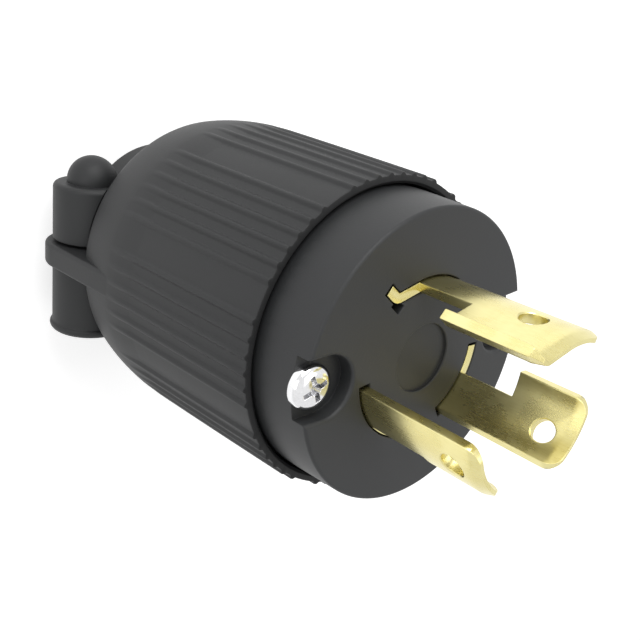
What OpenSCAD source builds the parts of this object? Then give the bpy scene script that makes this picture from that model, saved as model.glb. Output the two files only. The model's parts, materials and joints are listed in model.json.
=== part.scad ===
// Locking power plug with three curved blades, a ribbed shell and a two-screw cord clamp.
// +Z runs along the plug's axis towards the blades. The rear end stands on Z = 0, +Y is the
// side of the ground blade, and +X is the side of the right-hand line blade.

/* [Front body] */
// Diameter of the flat front face
face_d = 32.5; // [31.5:0.1:34]
// Diameter that the tapered side gains from the face down to the shell
side_taper = 0.5; // [0.2:0.1:0.8]
// Bevel round the edge of the face
face_bevel = 0.35; // [0.2:0.05:0.6]
// How far the face stands in front of the shell's rim
face_proud = 7; // [5:0.5:10]
// Depth of the front body's spigot inside the shell
spigot_depth = 5; // [4:0.5:7]
// Thickness of the skirt round the spigot
skirt_t = 1.65; // [1.4:0.05:2]
// Thickness of the web that carries the blade slots
web_t = 7; // [5:0.5:8]
// Diameter of the shallow recess in the middle of the face
recess_d = 7.6; // [5:0.2:10]
// Depth of that recess
recess_depth = 0.35; // [0.2:0.05:0.6]

/* [Blades] */
// Diameter of the circle round the outside of the blades
blade_circle_d = 17.9; // [17.6:0.05:18.4]
// Thickness of the blade metal
blade_t = 1.13; // [0.9:0.01:1.3]
// Length of the right line blade in front of the face
right_blade_len = 15.1; // [14:0.1:17]
// Length of the left line blade in front of the face
left_blade_len = 14.5; // [14:0.1:17]
// Length of the ground blade in front of the face
ground_blade_len = 17.2; // [15:0.1:19]
// Angle that a line blade spans
line_blade_span = 58; // [54:1:62]
// Angle of the arc of the ground blade, without its hook
ground_blade_span = 39.5; // [36:0.5:42]
// Angle that the locking notch takes from a line blade
notch_span = 22.5; // [18:0.5:26]
// Length of the locking notch, from the face
notch_len = 6.9; // [5:0.1:8]
// Angle by which the head over the notch stops short of the blade's root
head_short = 2; // [0.5:0.5:4]
// Length of the ground blade's notch, from the face
ground_notch_len = 6.5; // [5:0.1:8]
// Straight part of the ground blade's hook, along the tangent
hook_run = 3.1; // [2.8:0.1:3.6]
// Length of the hook's outward-turned lip
hook_lip = 1.7; // [1.4:0.1:2.4]
// Angle by which the lip turns outwards
hook_turn = 55; // [35:1:60]
// Chamfer on the top corner of the hook's lip
lip_chamfer = 0.9; // [0.4:0.1:1.2]
// Diameter of the round hole in each blade
blade_hole_d = 2.65; // [2:0.05:3.4]
// Distance from a blade's tip to the middle of its hole
blade_hole_setback = 3.3; // [3:0.1:5]
// Distance from the ground blade's tip to the middle of its hole
ground_hole_setback = 5; // [4:0.1:6]
// Radius of the blades' corners
blade_corner_r = 1.7; // [0.8:0.1:2.2]
// Bevel on the outside of the blades' tips
tip_bevel = 0.45; // [0.2:0.05:0.6]
// Room round a blade in its slot
slot_clear = 0.13; // [0.08:0.01:0.2]
// Room at the ends of a blade's arc in its slot
slot_end_room = 0.27; // [0.15:0.02:0.45]

/* [Terminals] */
// Distance from the terminal screws' axes to the terminal block's plate
terminal_setback = 6; // [5.4:0.1:7]
// Width of a blade's tail and of its clamp plate
tail_w = 8; // [7:0.1:8.6]
// Distance of the tail's inner face from the outside of the blade circle
tail_step = 0.6; // [0.3:0.1:0.9]
// Thickness of a clamp plate
plate_t = 2; // [1.5:0.1:2.4]
// Space for the wire between the tail and the clamp plate
wire_gap = 1.3; // [0.8:0.1:1.8]
// Diameter of the terminal screws
terminal_screw_d = 3.5; // [3:0.1:4]
// Diameter of the terminal screws' heads
terminal_head_d = 6.4; // [5.6:0.1:7]
// Height of the terminal screws' heads
terminal_head_h = 2; // [1.5:0.1:2.4]
// Length of the three wiring chambers behind the terminal block's plate
chamber_len = 14; // [12:0.5:16]
// Thickness of the walls between the chambers
partition_t = 2; // [1.4:0.1:3]

/* [Assembly screws] */
// Diameter of the circle on which the two assembly screws stand
assembly_circle_d = 29; // [28:0.1:30]
// Diameter of the assembly screws
assembly_screw_d = 2.5; // [2:0.1:3]
// Diameter of their heads
assembly_head_d = 4.8; // [4.2:0.1:5.2]
// Height of their heads
assembly_head_h = 1.4; // [1:0.1:1.7]
// Width of the U-shaped notches for the heads
head_notch_w = 6.7; // [6:0.1:7]
// Depth of those notches
head_notch_depth = 1.8; // [1.5:0.1:2.4]
// Distance of the notch's round end in from the screw's axis
head_notch_inset = 1.05; // [0.5:0.05:1.3]
// Width across the flats of the assembly nuts
assembly_nut_af = 5; // [4.5:0.1:5.2]
// Height of the assembly nuts
assembly_nut_h = 2; // [1.6:0.1:2.6]
// Thickness of the terminal block's plate under the spigot
block_ear_t = 2; // [1.5:0.1:3]

/* [Shell] */
// Length of the shell, from the rear end to the rim
shell_len = 45; // [43:0.5:50]
// Diameter over the ribs at the rim
rim_d = 36.1; // [35.8:0.1:37]
// Diameter of the smooth ring, the widest place
belly_d = 37.4; // [37:0.1:39]
// Height of the widest place above the rear end
belly_z = 21.5; // [20:0.5:24]
// Radius of the shoulder's curve
shoulder_r = 36; // [32:1:44]
// Radius of the rounded edge between the shoulder and the flat rear end
shoulder_round = 4; // [3:0.5:6]
// Diameter of the shell's cavity
cavity_d = 30.8; // [30.2:0.1:31.2]
// Thickness of the shell's rear wall
rear_wall_t = 3; // [2:0.1:4]
// Radius of the bosses for the assembly nuts
nut_boss_r = 3.4; // [3.2:0.1:3.6]

/* [Ribs] */
// Angle from one rib to the next
rib_pitch = 5.75; // [5.5:0.05:6]
// Width of a rib
rib_w = 0.62; // [0.4:0.02:0.9]
// Height of a rib above the plain panels
rib_h = 0.3; // [0.2:0.02:0.4]
// Height above the rear end at which the ribs run into the smooth ring
rib_end_z = 19.5; // [19:0.5:22]
// Length over which the valleys between the ribs run out into the smooth ring
rib_fade = 5; // [3:0.5:8]

/* [Cord clamp] */
// Distance from the clamp screws' axes to the shell's rear wall
clamp_reach = 3.5; // [3.3:0.1:4.2]
// Diameter of the passage for the cord
cord_d = 14; // [12:0.2:15]
// Height of the two biting ridges inside the clamp
ridge_h = 1; // [0.6:0.1:1.6]
// Width of those ridges
ridge_w = 1; // [0.8:0.1:1.4]
// Height of the first ridge above the rear end
ridge_z = 2.8; // [1.5:0.1:3.5]
// Distance from one ridge to the next
ridge_pitch = 3.9; // [2.5:0.1:4.5]
// Distance between the axes of the two clamp screws
clamp_spacing = 27.2; // [26.6:0.1:28]
// Height of the clamp screws' axes above the rear end
clamp_axis_z = 6.7; // [6.4:0.1:7.4]
// Radius of the clamp's bosses
clamp_boss_r = 4.75; // [4.5:0.05:5.2]
// Thickness of the side ears
ear_t = 3; // [2.4:0.1:4]
// Margin of an ear round its boss
ear_margin = 0.9; // [0.6:0.1:1.2]
// Height of the saddle's bosses above the ears
upper_boss_h = 7.5; // [7:0.1:8.5]
// Length of the lower bosses below the ears
lower_boss_h = 8.85; // [7.9:0.05:9.5]
// Radius of the domes on the saddle's bosses
dome_r = 3.1; // [2.6:0.1:3.5]
// Radius of the curved back of the clamp
clamp_back_r = 11.1; // [10.6:0.1:11.8]
// Height of the curved back above the cord's axis
clamp_back_h = 12.4; // [11.8:0.1:13]
// Open line between the saddle and the ears
parting_gap = 0.3; // [0.2:0.05:0.5]
// Room between the saddle and the shell's shoulder
saddle_clear = 0.25; // [0.15:0.05:0.4]
// Diameter of the clamp screws
clamp_screw_d = 3; // [2.6:0.1:3.2]
// Diameter of the clamp screws' heads
clamp_head_d = 5.6; // [5:0.1:6]
// Height of the clamp screws' heads
clamp_head_h = 2; // [1.6:0.1:2.4]
// Width across the flats of the clamp nuts
clamp_nut_af = 5; // [4.6:0.1:5.4]
// Height of the clamp nuts
clamp_nut_h = 2.4; // [2:0.1:2.8]

/* [Fits] */
// Radial room between the spigot and the shell
spigot_clear = 0.3; // [0.2:0.05:0.4]
// Radial room round screws and nuts in plastic
screw_clear = 0.2; // [0.1:0.05:0.3]
// Radial room between a screw and its thread
thread_clear = 0.05; // [0.02:0.01:0.08]
// Room round the inner pieces in their seats
seat_clear = 0.2; // [0.1:0.05:0.3]

/* [Hidden] */
$fn = 96;
eps = 0.01;
over = 1;

// How fast the flank tapers towards the rim: 1 is a cone
flank_power = 1.15;

// Small features
thread_run = 2;
tip_run = 1.5;
plate_room = 0.5;
column_wall = 1.2;
rim_lead = 0.3;
cavity_lead = 3;
cavity_draft = 0.4;
foot_margin = 1.5;
boss_inset = 0.8;
boss_bevel = 0.6;
dome_rise = 0.3;
dome_flat = 0.03;
flare_h = 0.8;
flare_w = 0.3;
head_sink = 0.4;
step_inset = 0.4;
bite_w = 0.5;
bite_pitch = 1;
slot_w = 1;
slot_depth = 0.9;
cross_w = 0.5;
cross_depth = 0.8;
cross_turn = 20;

// Heights along the axis
face_z = shell_len + face_proud;
spigot_z = shell_len - spigot_depth;
web_z = face_z - web_t;
block_top_z = web_z - blade_t;
boss_top_z = spigot_z - block_ear_t;
block_ear_mid_z = spigot_z - block_ear_t / 2;
block_rear_z = boss_top_z - chamber_len;
terminal_z = boss_top_z - terminal_setback;
head_seat_z = face_z - head_notch_depth;
assembly_len = head_seat_z - boss_top_z + assembly_nut_h + thread_run;

// Radii and widths
skirt_r = (face_d + side_taper) / 2;
spigot_bore_r = skirt_r + spigot_clear;
spigot_cup_r = skirt_r - skirt_t;
cavity_r = cavity_d / 2;
blade_r = blade_circle_d / 2;
blade_in_r = blade_r - blade_t;
blade_mid_r = blade_r - blade_t / 2;
tail_in_r = blade_r + tail_step;
tail_out_r = tail_in_r + blade_t;
plate_out_r = tail_in_r - wire_gap;
plate_in_r = plate_out_r - plate_t;
terminal_tip_r = plate_in_r - tip_run;
tail_end_z = terminal_z - tail_w / 2 - over;
screw_column_r = assembly_screw_d / 2 + screw_clear + column_wall;
chamber_half_w = tail_w / 2 + plate_room;

// Angles of the blades and of the screws, counted from +X
right_start = -59;
left_start = -169;
ground_start = 66;
right_terminal = -38;
left_terminal = -140;
ground_terminal = 90;
line_hole_turn = 4.5;
ground_hole_turn = 4;
right_screw_turn = 6.5;
left_screw_turn = 182;
screw_turns = [right_screw_turn, left_screw_turn];

// Angle of the hook's lip, the middle of its bend and the middle of its end
lip_angle = ground_start + ground_blade_span - hook_turn + 90;
hook_bend = let (end = ground_start + ground_blade_span)
    blade_mid_r * [cos(end), sin(end)] + hook_run * [-sin(end), cos(end)];
hook_end = hook_bend + hook_lip * [cos(lip_angle), sin(lip_angle)];

// Lap of the hook on the blade's arc, and the relief in the face beside the hook's bend
hook_lap = 0.3;
relief_back = 1.3;
relief_front = 0.25;
relief_w = 1.05;

// Rib groups: six ribs at the sides and corners, eight above and below, eight plain panels
side_ribs = 6;
top_ribs = 8;
rib_count = 6 * side_ribs + 2 * top_ribs;
panel_span = (360 - (rib_count - 8) * rib_pitch) / 8;
corner_turn = (side_ribs - 1) * rib_pitch + panel_span;
rib_groups = [[0, side_ribs], [corner_turn, side_ribs], [90, top_ribs],
    [180 - corner_turn, side_ribs], [180, side_ribs], [180 + corner_turn, side_ribs],
    [270, top_ribs], [360 - corner_turn, side_ribs]];

clamp_x = clamp_spacing / 2;
clamp_len = clamp_axis_z + clamp_reach;
ear_r = clamp_boss_r + ear_margin;
cord_r = cord_d / 2;
clamp_seat_y = ear_t / 2 + parting_gap;
clamp_top_y = ear_t / 2 + upper_boss_h;
clamp_tip_y = clamp_seat_y + clamp_nut_h + thread_run;
clamp_head_y = -ear_t / 2 - lower_boss_h + clamp_head_h + head_sink;

// ---------- shared shapes ----------

// Points on an arc, from angle a0 to a1
function arc_points(c, r, a0, a1, n) =
    [for (i = [0:n]) c + r * [cos(a0 + (a1 - a0) * i / n), sin(a0 + (a1 - a0) * i / n)]];

// Radius of the shell over the ribs, between the belly and the rim
function flank_r(z) =
    (belly_d - (belly_d - rim_d) * pow((z - belly_z) / (shell_len - belly_z), flank_power)) / 2;

// Outline of the shell's outer surface, moved outwards by grow: the flat rear end, the rounded
// edge, the shoulder's wide arc and the flank up to the rim
function shell_outline(grow) = let (
    shoulder = [belly_d / 2 - shoulder_r, belly_z],
    inner_r = shoulder_r - shoulder_round,
    drop = asin((belly_z - clamp_len - shoulder_round) / inner_r),
    corner = shoulder + inner_r * [cos(drop), -sin(drop)])
    concat(
        [[0, clamp_len - grow]],
        arc_points(corner, shoulder_round + grow, -90, -drop, 6),
        arc_points(shoulder, shoulder_r + grow, -drop * 4 / 5, 0, 4),
        [for (i = [1:4]) let (z = belly_z + (shell_len - belly_z) * i / 4) [flank_r(z) + grow, z]],
        [[0, shell_len]]);

// A sector from a0 to a1, far enough out to hold any section
module wedge(a0, a1, r = 2 * cavity_d) {
    mid = (a0 + a1) / 2;
    polygon([[0, 0], r * [cos(a0), sin(a0)], r * [cos(mid), sin(mid)], r * [cos(a1), sin(a1)]]);
}

// A curved strip between two radii and two angles
module arc_strip(r_in, r_out, a0, a1) {
    intersection() {
        difference() {
            circle(r_out);
            circle(r_in);
        }
        wedge(a0, a1);
    }
}

// A cylinder whose axis points outwards at an angle and a height, from r0 to r1
module radial_rod(angle, z, r0, r1, d) {
    rotate(angle) translate([r0, 0, z]) rotate([0, 90, 0]) cylinder(h = r1 - r0, d = d);
}

// Places its children at an assembly screw, with their +X pointing outwards
module at_screw(turn) {
    rotate(turn) translate([assembly_circle_d / 2, 0, 0]) children();
}

// A round rod along +Y on the axis of a clamp screw, from y0 to y1
module clamp_rod(side, y0, y1, r) {
    translate([side * clamp_x, y0, clamp_axis_z]) rotate([-90, 0, 0])
        cylinder(h = y1 - y0, r = r);
}

// ---------- blades ----------

// Curved section of a blade that starts at an angle, with room round it and at its ends
module line_section(start, span, room = 0, end_room = 0) {
    side = end_room / blade_mid_r * 180 / PI;
    arc_strip(blade_in_r - room, blade_r + room, start - side, start + span + side);
}

// Points along one side of the ground blade's hook, off its middle line by d
function hook_side(d) = let (
    end = ground_start + ground_blade_span,
    out = [cos(end), sin(end)],
    run = [-sin(end), cos(end)],
    lip_out = [sin(lip_angle), -cos(lip_angle)],
    mitre = (out + lip_out) / (1 + cos(hook_turn)))
    [blade_mid_r * out + d * out - hook_lap * run, hook_bend + d * mitre, hook_end + d * lip_out];

// Section of the hook, with room round it
module hook_section(room = 0) {
    side_a = hook_side(blade_t / 2 + room);
    side_b = hook_side(-blade_t / 2 - room);
    grow = room * (side_a[2] - side_a[1]) / norm(side_a[2] - side_a[1]);
    polygon([side_a[0], side_a[1], side_a[2] + grow, side_b[2] + grow, side_b[1], side_b[0]]);
}

// Section of the whole ground blade, with room round it
module ground_section(room = 0, end_room = 0) {
    line_section(ground_start, ground_blade_span, room, end_room);
    hook_section(room);
}

// Tail behind the face: a step outwards under the web, then a flat strip with a screw hole
module blade_tail(angle) {
    difference() {
        rotate(angle) union() {
            translate([blade_in_r + step_inset, -tail_w / 2, block_top_z])
                cube([tail_out_r - blade_in_r - step_inset, tail_w, blade_t]);
            translate([tail_in_r, -tail_w / 2, tail_end_z])
                cube([blade_t, tail_w, web_z - tail_end_z]);
        }
        radial_rod(angle, terminal_z, tail_in_r - over, tail_out_r + over,
            terminal_screw_d + 2 * screw_clear);
    }
}

// Cutter that rounds one top corner of a blade: side is 1 at its end angle, -1 at its start
module corner_cut(angle, side, tip_z) {
    rotate(angle) difference() {
        translate([blade_in_r - 2 * over, side > 0 ? -blade_corner_r : -3 * over,
            tip_z - blade_corner_r])
            cube([blade_t + 4 * over, blade_corner_r + 3 * over, blade_corner_r + over]);
        translate([0, -side * blade_corner_r, tip_z - blade_corner_r]) rotate([0, 90, 0])
            cylinder(h = 3 * blade_r, r = blade_corner_r + eps);
    }
}

// Ring that bevels the outside of a blade's tip
module tip_bevel_cut(tip_z) {
    drop = 3 * tip_bevel;
    out = blade_r + hook_lip + over;
    rotate_extrude() polygon([[blade_r - tip_bevel, tip_z + eps], [out, tip_z + eps],
        [out, tip_z - drop], [blade_r + eps, tip_z - drop]]);
}

// A line blade: full arc, locking notch, hole, rounded corners and tail
module line_blade(start, terminal, length) {
    tip_z = face_z + length;
    notch_start = start + line_blade_span - notch_span;
    head_end = start + line_blade_span - head_short;
    hole_angle = (start + notch_start) / 2 + line_hole_turn;
    color("khaki") {
        difference() {
            translate([0, 0, block_top_z]) linear_extrude(tip_z - block_top_z)
                line_section(start, line_blade_span);
            translate([0, 0, face_z]) linear_extrude(notch_len)
                wedge(notch_start, notch_start + 2 * notch_span);
            translate([0, 0, face_z]) linear_extrude(length + over)
                wedge(head_end, head_end + notch_span);
            radial_rod(hole_angle, tip_z - blade_hole_setback, over, 2 * blade_r, blade_hole_d);
            tip_bevel_cut(tip_z);
            corner_cut(start, -1, tip_z);
            corner_cut(head_end, 1, tip_z);
        }
        blade_tail(terminal);
    }
}

module line_blade_right() {
    line_blade(right_start, right_terminal, right_blade_len);
}

module line_blade_left() {
    line_blade(left_start, left_terminal, left_blade_len);
}

// The ground blade: arc and hook, with the hook cut back behind the locking head
module ground_blade() {
    tip_z = face_z + ground_blade_len;
    color("khaki") {
        difference() {
            translate([0, 0, block_top_z]) linear_extrude(tip_z - block_top_z) ground_section();
            translate([0, 0, face_z]) linear_extrude(ground_notch_len)
                wedge(ground_start + ground_blade_span, ground_start + 3 * ground_blade_span);
            radial_rod(ground_terminal + ground_hole_turn, tip_z - ground_hole_setback, over,
                2 * blade_r, blade_hole_d);
            tip_bevel_cut(tip_z);
            corner_cut(ground_start, -1, tip_z);
            translate([hook_end[0], hook_end[1], tip_z]) rotate(lip_angle) rotate([0, 45, 0])
                cube([lip_chamfer * sqrt(2), 3 * blade_t, lip_chamfer * sqrt(2)], center = true);
        }
        blade_tail(ground_terminal);
    }
}

// ---------- front body ----------

module front_body() {
    color("dimgray") difference() {
        rotate_extrude() polygon([[0, spigot_z], [skirt_r, spigot_z],
            [skirt_r, shell_len], [face_d / 2, face_z - face_bevel],
            [face_d / 2 - face_bevel, face_z], [0, face_z]]);
        // hollow of the spigot, round the two screw columns
        translate([0, 0, spigot_z - over]) linear_extrude(web_z - spigot_z + over)
            difference() {
                circle(spigot_cup_r);
                for (turn = screw_turns) at_screw(turn) circle(screw_column_r);
            }
        // blade slots
        translate([0, 0, web_z - over]) linear_extrude(web_t + 2 * over) {
            line_section(right_start, line_blade_span, slot_clear, slot_end_room);
            line_section(left_start, line_blade_span, slot_clear, slot_end_room);
            ground_section(slot_clear, slot_end_room);
            translate(hook_bend) rotate(lip_angle) translate([-relief_back, 0])
                square([relief_back + relief_front, relief_w]);
        }
        // central recess
        translate([0, 0, face_z - recess_depth]) cylinder(h = over, d = recess_d);
        // screw holes and their U-shaped notches
        for (turn = screw_turns) at_screw(turn) {
            translate([0, 0, spigot_z - over])
                cylinder(h = face_z - spigot_z, d = assembly_screw_d + 2 * screw_clear);
            translate([-head_notch_inset, 0, head_seat_z]) {
                cylinder(h = head_notch_depth + over, d = head_notch_w);
                translate([0, -head_notch_w / 2, 0])
                    cube([head_notch_w, head_notch_w, head_notch_depth + over]);
            }
        }
    }
}

// ---------- terminal block ----------

// Places where the blades' steps and tails pass through the block
module tail_slot(angle) {
    rotate(angle)
        translate([tail_in_r - seat_clear, -tail_w / 2 - seat_clear, block_rear_z - over])
        cube([blade_t + 2 * seat_clear, tail_w + 2 * seat_clear, web_z - block_rear_z]);
}

// One wiring chamber, open outwards and to the rear
module chamber(angle) {
    rotate(angle) translate([plate_in_r - plate_room, -chamber_half_w, block_rear_z - over])
        cube([cavity_r, 2 * chamber_half_w, chamber_len + over + eps]);
    radial_rod(angle, terminal_z, terminal_tip_r - plate_room, plate_out_r,
        terminal_screw_d + 2 * plate_room);
}

module terminal_block() {
    block_r = cavity_r - seat_clear;
    color("ivory") difference() {
        union() {
            translate([0, 0, boss_top_z]) cylinder(h = block_ear_t, r = block_r);
            // upper part inside the spigot, clear of the screw columns
            translate([0, 0, block_ear_mid_z]) linear_extrude(block_top_z - block_ear_mid_z)
                difference() {
                    circle(spigot_cup_r - seat_clear);
                    for (turn = screw_turns) at_screw(turn) circle(screw_column_r + seat_clear);
                }
            // hub and the two walls of each chamber, clear of the nuts' bosses
            translate([0, 0, block_rear_z]) linear_extrude(chamber_len + eps) {
                circle(plate_in_r);
                difference() {
                    intersection() {
                        circle(block_r - seat_clear);
                        for (angle = [right_terminal, left_terminal, ground_terminal])
                            rotate(angle) translate([0, -chamber_half_w - partition_t])
                                square([block_r, 2 * (chamber_half_w + partition_t)]);
                    }
                    for (turn = screw_turns) at_screw(turn) circle(nut_boss_r + seat_clear);
                }
            }
        }
        for (angle = [right_terminal, left_terminal, ground_terminal]) {
            tail_slot(angle);
            chamber(angle);
        }
        for (turn = screw_turns) at_screw(turn)
            cylinder(h = face_z, d = assembly_screw_d + 2 * screw_clear);
    }
}

// ---------- terminal screws and plates ----------

module terminal_screw(angle) {
    radial_rod(angle, terminal_z, terminal_tip_r, tail_out_r + eps, terminal_screw_d);
    difference() {
        radial_rod(angle, terminal_z, tail_out_r, tail_out_r + terminal_head_h,
            terminal_head_d);
        rotate(angle) translate([tail_out_r + terminal_head_h - slot_depth, -terminal_head_d,
            terminal_z - slot_w / 2]) cube([slot_depth + over, 2 * terminal_head_d, slot_w]);
    }
}

module terminal_screw_right() {
    color("gold") terminal_screw(right_terminal);
}

module terminal_screw_left() {
    color("gold") terminal_screw(left_terminal);
}

module ground_screw() {
    color("green") terminal_screw(ground_terminal);
}

module clamp_plate(angle) {
    difference() {
        rotate(angle) translate([plate_in_r, -tail_w / 2, terminal_z - tail_w / 2])
            cube([plate_t, tail_w, tail_w]);
        radial_rod(angle, terminal_z, over, tail_out_r, terminal_screw_d + 2 * thread_clear);
        // grooves that bite the wire, above and below the screw
        for (side = [-1, 1], row = [0, 1]) rotate(angle)
            translate([plate_out_r, 0, terminal_z + side * (tail_w / 4 + row * bite_pitch)])
            rotate([90, 45, 0]) cube([bite_w, bite_w, 2 * tail_w], center = true);
    }
}

module clamp_plate_right() {
    color("goldenrod") clamp_plate(right_terminal);
}

module clamp_plate_left() {
    color("goldenrod") clamp_plate(left_terminal);
}

module ground_clamp_plate() {
    color("goldenrod") clamp_plate(ground_terminal);
}

// ---------- assembly screws and nuts ----------

module assembly_screw(turn) {
    color("silver") at_screw(turn) translate([0, 0, head_seat_z]) difference() {
        union() {
            translate([0, 0, -assembly_len]) cylinder(h = assembly_len + eps, d = assembly_screw_d);
            intersection() {
                cylinder(h = assembly_head_h, d = assembly_head_d);
                translate([0, 0, assembly_head_h - assembly_head_d])
                    sphere(r = assembly_head_d);
            }
        }
        cross_span = 0.6 * assembly_head_d;
        for (slot = [0, 90]) rotate(slot + cross_turn)
            translate([-cross_span / 2, -cross_w / 2, assembly_head_h - cross_depth])
            cube([cross_span, cross_w, cross_depth + over]);
    }
}

module assembly_nut(turn) {
    color("silver") at_screw(turn) translate([0, 0, boss_top_z - assembly_nut_h])
        difference() {
            cylinder(h = assembly_nut_h, r = assembly_nut_af / sqrt(3), $fn = 6);
            translate([0, 0, -over])
                cylinder(h = assembly_nut_h + 2 * over, d = assembly_screw_d + 2 * thread_clear);
        }
}

module assembly_screw_right() {
    assembly_screw(right_screw_turn);
}

module assembly_screw_left() {
    assembly_screw(left_screw_turn);
}

module assembly_nut_right() {
    assembly_nut(right_screw_turn);
}

module assembly_nut_left() {
    assembly_nut(left_screw_turn);
}

// ---------- rear shell ----------

// One valley between ribs, or one plain panel: its floor rises to the smooth ring at its end
module rib_groove(middle, span) {
    fade_z = rib_end_z + rib_fade;
    rotate(middle - span / 2) rotate_extrude(angle = span) polygon([
        [belly_d / 2 + 2 * eps, rib_end_z], [flank_r(fade_z) - rib_h, fade_z],
        [flank_r(shell_len) - rib_h, shell_len + eps],
        [belly_d / 2 + over, shell_len + eps], [belly_d / 2 + over, rib_end_z]]);
}

module rib_grooves() {
    rib_angle = rib_w / (belly_d / 2) * 180 / PI;
    for (group = rib_groups) {
        for (i = [0:group[1] - 2])
            rib_groove(group[0] + (i - (group[1] - 2) / 2) * rib_pitch, rib_pitch - rib_angle);
        rib_groove(group[0] + (group[1] - 1) / 2 * rib_pitch + panel_span / 2,
            panel_span - rib_angle);
    }
}

// Flat side ear: its edge leaves its round end at a tangent, meets the shell's belly and runs
// on below the shell's surface
module ear(side) {
    middle = [clamp_x, clamp_axis_z];
    meet = [belly_d / 2, rib_end_z];
    away = meet - middle;
    turn = atan2(away[1], away[0]) - acos(ear_r / norm(away));
    touch = middle + ear_r * [cos(turn), sin(turn)];
    end = meet + rib_fade * (meet - touch) / norm(meet - touch);
    translate([0, ear_t / 2, 0]) rotate([90, 0, 0]) linear_extrude(ear_t)
        mirror([side > 0 ? 0 : 1, 0]) {
            translate(middle) circle(ear_r);
            polygon([[cavity_r, end[1]], end, touch, middle]);
        }
}

// Curved back of one half of the clamp, above the plane Y = y0
module clamp_back(y0, length) {
    linear_extrude(length) difference() {
        intersection() {
            translate([0, clamp_back_h - clamp_back_r]) circle(clamp_back_r);
            translate([-clamp_x, y0]) square([clamp_spacing, 2 * clamp_back_r]);
        }
        circle(cord_r);
    }
}

// The two biting ridges of one half of the clamp, above the plane Y = y0
module clamp_ridges(y0) {
    for (row = [0, 1]) translate([0, 0, ridge_z + row * ridge_pitch]) linear_extrude(ridge_w)
        intersection() {
            difference() {
                circle(cord_r + over);
                circle(cord_r - ridge_h);
            }
            translate([-cord_d, y0]) square([2 * cord_d, cord_d]);
        }
}

module rear_shell() {
    color("dimgray") difference() {
        union() {
            difference() {
                union() {
                    rotate_extrude() polygon(shell_outline(0));
                    for (side = [-1, 1]) ear(side);
                }
                rib_grooves();
                // cavity, then the socket for the spigot
                rotate_extrude() polygon([[0, clamp_len + rear_wall_t],
                    [cord_r + foot_margin, clamp_len + rear_wall_t],
                    [cavity_r - cavity_draft, belly_z - cavity_lead],
                    [cavity_r, belly_z], [cavity_r, spigot_z], [spigot_bore_r, spigot_z],
                    [spigot_bore_r, shell_len - rim_lead],
                    [spigot_bore_r + rim_lead, shell_len + eps], [0, shell_len + eps]]);
            }
            intersection() {
                for (turn = screw_turns) at_screw(turn)
                    cylinder(h = boss_top_z, r = nut_boss_r);
                rotate_extrude() polygon(shell_outline(-boss_inset));
            }
            for (side = [-1, 1]) {
                clamp_rod(side, -ear_t / 2 - lower_boss_h, 0, clamp_boss_r);
                clamp_rod(side, -ear_t / 2 - lower_boss_h, -ear_t / 2 - lower_boss_h + flare_h,
                    clamp_boss_r + flare_w);
            }
            mirror([0, 1, 0]) {
                clamp_back(-ear_t / 2, clamp_len + eps);
                clamp_ridges(-ear_t / 2);
            }
        }
        // cord passage through the rear wall
        translate([0, 0, clamp_len - eps]) cylinder(h = rear_wall_t + over, r = cord_r);
        // nut pockets and screw holes in the assembly bosses
        for (turn = screw_turns) at_screw(turn) {
            translate([0, 0, boss_top_z - assembly_nut_h])
                cylinder(h = assembly_nut_h + over,
                    r = assembly_nut_af / sqrt(3) + screw_clear, $fn = 6);
            translate([0, 0, head_seat_z - assembly_len - over])
                cylinder(h = assembly_len, d = assembly_screw_d + 2 * screw_clear);
        }
        // clamp screw holes with counterbores for the heads
        for (side = [-1, 1]) {
            clamp_rod(side, clamp_head_y - over, ear_t, clamp_screw_d / 2 + screw_clear);
            clamp_rod(side, clamp_head_y - clamp_head_h - head_sink - over, clamp_head_y,
                clamp_head_d / 2 + screw_clear);
        }
    }
}

// ---------- cord clamp saddle, screws and nuts ----------

module clamp_saddle() {
    color("dimgray") difference() {
        union() {
            clamp_back(clamp_seat_y, clamp_len - saddle_clear);
            clamp_ridges(clamp_seat_y);
            for (side = [-1, 1]) difference() {
                union() {
                    clamp_rod(side, clamp_seat_y, clamp_top_y - boss_bevel, clamp_boss_r);
                    translate([side * clamp_x, clamp_top_y - boss_bevel, clamp_axis_z])
                        rotate([-90, 0, 0]) cylinder(h = boss_bevel, r1 = clamp_boss_r,
                            r2 = clamp_boss_r - boss_bevel);
                    translate([side * clamp_x, clamp_top_y + dome_rise, clamp_axis_z])
                        rotate([-90, 0, 0]) intersection() {
                            sphere(r = dome_r);
                            cylinder(h = 2 * (dome_r - dome_flat), r = dome_r + over, center = true);
                        }
                }
                cylinder(h = 2 * clamp_len, r = cord_r);
                rotate_extrude() polygon(shell_outline(saddle_clear));
            }
        }
        for (side = [-1, 1]) {
            clamp_rod(side, 0, clamp_tip_y + over, clamp_screw_d / 2 + screw_clear);
            translate([side * clamp_x, 0, clamp_axis_z]) rotate([-90, 30, 0])
                cylinder(h = clamp_seat_y + clamp_nut_h,
                    r = (clamp_nut_af / 2 + screw_clear) / cos(30), $fn = 6);
        }
    }
}

module clamp_screw(side) {
    cross_span = 0.6 * clamp_head_d;
    color("silver") difference() {
        union() {
            clamp_rod(side, clamp_head_y - clamp_head_h, clamp_head_y, clamp_head_d / 2);
            clamp_rod(side, clamp_head_y - eps, clamp_tip_y, clamp_screw_d / 2);
        }
        translate([side * clamp_x, clamp_head_y - clamp_head_h, clamp_axis_z])
            for (turn = [0, 90]) rotate([0, turn, 0])
            cube([cross_span, 2 * cross_depth, cross_w], center = true);
    }
}

module clamp_nut(side) {
    color("silver") translate([side * clamp_x, clamp_seat_y, clamp_axis_z])
        rotate([-90, 30, 0]) difference() {
            cylinder(h = clamp_nut_h, r = clamp_nut_af / sqrt(3), $fn = 6);
            translate([0, 0, -over])
                cylinder(h = clamp_nut_h + 2 * over, d = clamp_screw_d + 2 * thread_clear);
        }
}

module clamp_screw_right() {
    clamp_screw(1);
}

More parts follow.
